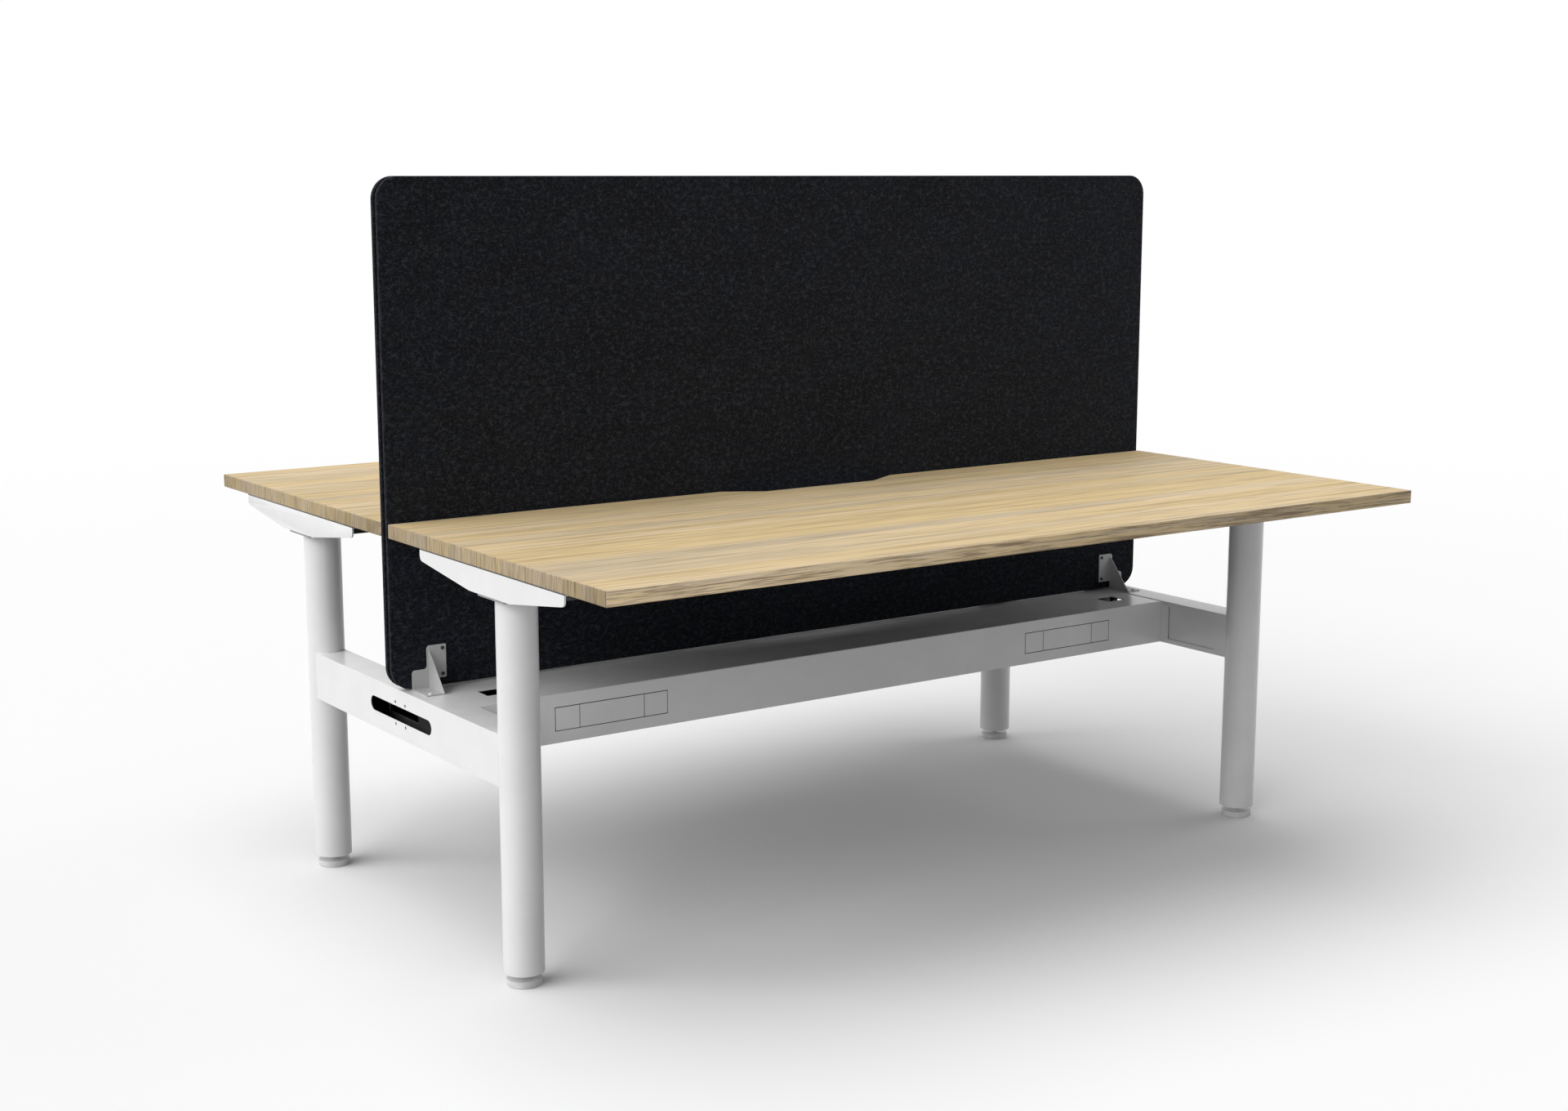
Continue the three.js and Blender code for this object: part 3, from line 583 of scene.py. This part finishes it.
# Foot: a round disc with soft rims on a plain stem
def makeFoot(desk, hand, centre):
    node = f"{desk}_foot_{hand}"
    low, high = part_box(node)
    disc, height = (high.x - low.x) / 2, footShape["discHeight"]
    stem, rim = footShape["stemRadius"], footShape["stemRim"]
    corners = [(footShape["soleShare"] * disc, 0), (disc, 0, footShape["rim"]),
               (disc, height, footShape["topRim"]), (stem, height)]
    side = roundedOutline(corners, footShape["rimSteps"], columnShape["guard"])
    profile = np.vstack([side, [[stem, height + rim], [stem, high.z - rim], [stem - rim, high.z]]])
    makePiece(pieceName("foot", desk, hand), [loopShell(turnedLoops(profile, centre))], [greyFoot],
              f"{desk}_leveller_{hand}", [node])


def makeColumn(desk, hand):
    leg = f"{desk}_leg_{hand}"
    low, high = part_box(leg)
    outer, centre = (high.x - low.x) / 2, columnAxis(leg)
    makeLeg(desk, hand, outer, centre)
    makeLift(desk, hand, outer, centre)
    makeFoot(desk, hand, centre)


for desk in desks:
    for hand in hands:
        makeColumn(desk, hand)
print("columns made")


# Screws

screwShape = {"radius": 0.0042, "height": 0.0022, "socket": 0.0019, "socketDepth": 0.0014, "dome": 0.0009}
screwSteps = {"dome": 4, "sides": 24}


# Pan head: a short cylinder with a round shoulder and a sunk socket, turned about its own axis.
def screwShell(place, up, size=1.0):
    head = {key: size * value for key, value in screwShape.items()}
    turn = np.linspace(0, math.pi / 2, screwSteps["dome"] + 1)
    inset, drop = head["dome"] * (1 - np.cos(turn)), head["dome"] * (1 - np.sin(turn))
    shoulder = np.stack([head["radius"] - inset, head["height"] - drop], axis=1)
    socket = [[head["socket"], head["height"]], [head["socket"], head["height"] - head["socketDepth"]]]
    profile = np.vstack([[[head["radius"], 0]], shoulder, socket])
    points, faces, finish, smooth = loopShell(turnedLoops(profile, (0, 0), screwSteps["sides"]))
    return stoodOn(points, place, up), faces, finish, [False] * len(smooth)


# Two in each bracket plate, one through its toe, on both faces of the screen
bracketScrews = {"plateMargin": 0.007, "toeMargin": 0.009, "toeInset": 0.011, "plateRise": 0.015,
                 "sheet": 0.0015, "plateSize": 0.8}


def makeBracketScrews():
    plateShells, toeShells = [], []
    margin, sheet = bracketScrews["plateMargin"], bracketScrews["sheet"]
    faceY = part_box("screen_felt_rear")[1].y + fitGap + sheet
    for side, hand in zip((-1, 1), hands):
        low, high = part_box("screen_bracket_" + hand)
        footTop = low.z + sheet
        innerX = side * (min(abs(low.x), abs(high.x)) + margin)
        outerX = side * (max(abs(low.x), abs(high.x)) - bracketScrews["toeInset"])
        toeY = high.y - bracketScrews["toeMargin"]
        for face in (-1, 1):
            for z in (footTop + bracketScrews["plateRise"] + margin, high.z - margin):
                place = (innerX, face * faceY, z)
                plateShells.append(screwShell(place, (0, face, 0), bracketScrews["plateSize"]))
            toeShells.append(screwShell((outerX, face * toeY, footTop), (0, 0, 1)))
    makePiece("bracketPlateScrews", plateShells, [blackPowder], "base")
    makePiece("bracketToeScrews", toeShells, [whitePowder], "base")


# Four under each head plate, four through each arm's flange into the board, two in each control box ear
deskScrews = {"plateX": 0.034, "plateY": 0.039, "flange": (0.1, 0.22), "earX": 0.139, "earY": 0.018,
              "flangeSheet": 0.003, "earSheet": 0.003}


def makeDeskScrews(desk):
    places = []
    for hand in hands:
        x, y = columnAxis(f"{desk}_lift_tube_{hand}")
        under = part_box(f"{desk}_lift_tube_{hand}")[1].z - headShape["thickness"]
        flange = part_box(f"{desk}_arm_{hand}")[1].z - deskScrews["flangeSheet"]
        for i in (-1, 1):
            for j in (-1, 1):
                places.append((x + i * deskScrews["plateX"], y + j * deskScrews["plateY"], under))
            for reach in deskScrews["flange"]:
                places.append((x, y + i * reach, flange))
    low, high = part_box(desk + "_control_box")
    middle, ear = (low.y + high.y) / 2, high.z - deskScrews["earSheet"]
    for i in (-1, 1):
        for j in (-1, 1):
            places.append((i * deskScrews["earX"], middle + j * deskScrews["earY"], ear))
    shells = [screwShell(place, (0, 0, -1)) for place in places]
    makePiece(desk + "DeskScrews", shells, [brightZinc], desk + "_desk")


makeBracketScrews()
for desk in desks:
    makeDeskScrews(desk)
print("screws made")


# Floor, light and camera

stageShape = {"floorHalf": 40.0, "floorDrop": 0.0004, "fadeFrom": 3.5, "fadeTo": 8.0,
              "floorColour": (0.9, 0.9, 0.9), "bounceColour": (0.41, 0.41, 0.41)}
lightSet = {"ambient": 0.25, "lamps": {
    "key": {"strength": 1.38, "angle": 55.0, "comesFrom": (-0.12, 0.2, 0.96)},
    "side": {"strength": 1.2, "angle": 42.0, "comesFrom": (-0.78, 0.2, 0.58)},
    "lowSide": {"strength": 0.93, "angle": 34.0, "comesFrom": (-0.83, -0.34, 0.45)},
    "fill": {"strength": 0.42, "angle": 40.0, "comesFrom": (0.88, -0.1, 0.45)},
}}


# Share of a ray that sees the plain white surround: camera, glossy and transmission rays
def seesSurround(tree):
    path = addNode(tree, "ShaderNodeLightPath").outputs
    values = {0: path["Is Camera Ray"], 1: path["Is Glossy Ray"]}
    first = addNode(tree, "ShaderNodeMath", values, operation="MAXIMUM").outputs[0]
    values = {0: first, 1: path["Is Transmission Ray"]}
    return addNode(tree, "ShaderNodeMath", values, operation="MAXIMUM").outputs[0]


def makeFloor():
    half = stageShape["floorHalf"]
    grid = np.array([[-half, -half], [half, -half], [half, half], [-half, half]])
    points = np.column_stack([grid, np.full(4, -stageShape["floorDrop"])])
    mesh = bpy.data.meshes.new("floor")
    mesh.from_pydata(points.tolist(), [], [[0, 1, 2, 3]])
    material = bpy.data.materials.new("paleFloor")
    material.use_nodes = True
    tree = material.node_tree
    tree.nodes.remove(tree.nodes["Principled BSDF"])
    bounced = addNode(tree, "ShaderNodeLightPath").outputs["Is Diffuse Ray"]
    colour = blendColour(tree, bounced, (*stageShape["floorColour"], 1), (*stageShape["bounceColour"], 1))
    matt = addNode(tree, "ShaderNodeBsdfDiffuse", {"Color": colour})
    white = addNode(tree, "ShaderNodeEmission", {"Color": (1, 1, 1, 1), "Strength": 1.0})
    place = addNode(tree, "ShaderNodeTexCoord").outputs["Object"]
    far = addNode(tree, "ShaderNodeVectorMath", {0: place}, operation="LENGTH").outputs["Value"]
    values = {"Value": far, "From Min": stageShape["fadeFrom"], "From Max": stageShape["fadeTo"]}
    fade = addNode(tree, "ShaderNodeMapRange", values, interpolation_type="SMOOTHSTEP").outputs["Result"]
    share = addNode(tree, "ShaderNodeMath", {0: fade, 1: seesSurround(tree)}, operation="MULTIPLY").outputs[0]
    mix = addNode(tree, "ShaderNodeMixShader", {0: share, 1: matt.outputs[0], 2: white.outputs[0]})
    tree.links.new(mix.outputs[0], tree.nodes["Material Output"].inputs["Surface"])
    mesh.materials.append(material)
    floor = bpy.data.objects.new("floor", mesh)
    bpy.context.scene.collection.objects.link(floor)


def lightStudio():
    world = bpy.data.worlds.new("studio")
    world.use_nodes = True
    bpy.context.scene.world = world
    tree = world.node_tree
    tree.nodes.clear()
    soft = addNode(tree, "ShaderNodeBackground", {"Color": (1, 1, 1, 1), "Strength": lightSet["ambient"]})
    white = addNode(tree, "ShaderNodeBackground", {"Color": (1, 1, 1, 1), "Strength": 1.0})
    values = {0: seesSurround(tree), 1: soft.outputs[0], 2: white.outputs[0]}
    mix = addNode(tree, "ShaderNodeMixShader", values)
    output = addNode(tree, "ShaderNodeOutputWorld")
    tree.links.new(mix.outputs[0], output.inputs["Surface"])
    for name, setting in lightSet["lamps"].items():
        lamp = bpy.data.lights.new(name, "SUN")
        lamp.energy, lamp.angle = setting["strength"], math.radians(setting["angle"])
        holder = bpy.data.objects.new(name, lamp)
        bpy.context.scene.collection.objects.link(holder)
        holder.rotation_euler = (-Vector(setting["comesFrom"])).to_track_quat("-Z", "Y").to_euler()


# Camera fitted to the edges of the tops, screen and columns
cameraSet = {"place": (-2.474382, -3.470709, 1.335139), "azimuth": -34.999, "elevation": 9.983,
             "focalPixels": 2652.526, "imageWidth": 1920, "sensor": 36.0}


def makeCamera():
    a, e = math.radians(cameraSet["azimuth"]), math.radians(cameraSet["elevation"])
    back = Vector((math.sin(a) * math.cos(e), -math.cos(a) * math.cos(e), math.sin(e)))
    lens = bpy.data.cameras.new("photoView")
    lens.sensor_width = cameraSet["sensor"]
    lens.lens = cameraSet["focalPixels"] * cameraSet["sensor"] / cameraSet["imageWidth"]
    camera = bpy.data.objects.new("photoView", lens)
    bpy.context.scene.collection.objects.link(camera)
    camera.location = cameraSet["place"]
    camera.rotation_euler = (-back).to_track_quat("-Z", "Y").to_euler()
    bpy.context.scene.camera = camera


makeFloor()
lightStudio()
makeCamera()
bpy.context.scene.view_settings.view_transform = "Standard"
print("floor, light and camera set")
